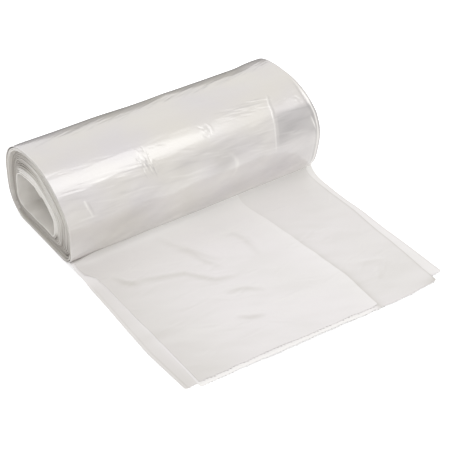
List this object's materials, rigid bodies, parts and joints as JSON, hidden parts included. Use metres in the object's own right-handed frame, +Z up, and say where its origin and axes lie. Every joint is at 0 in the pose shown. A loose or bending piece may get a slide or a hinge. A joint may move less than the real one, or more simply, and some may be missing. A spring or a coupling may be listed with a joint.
{
  "type": "bin bag roll",
  "caption": "Coreless roll of clear film sacks, slumped flat on its side, with the loose end pulled out flat in front in stepped folded layers.",
  "frame": {"origin": "middle of the roll's flat foot, on the surface it lies on, halfway along the roll", "axes": "+X along the roll, -Y toward the loose end, +Z up"},
  "size_m": [0.258, 0.2946, 0.084],
  "materials": {
    "film": "clear low-density polyethylene film, milky white where many layers lie together, soft gloss"
  },
  "bodies": {
    "root": {"bag_roll": "film"}
  },
  "joints": []
}
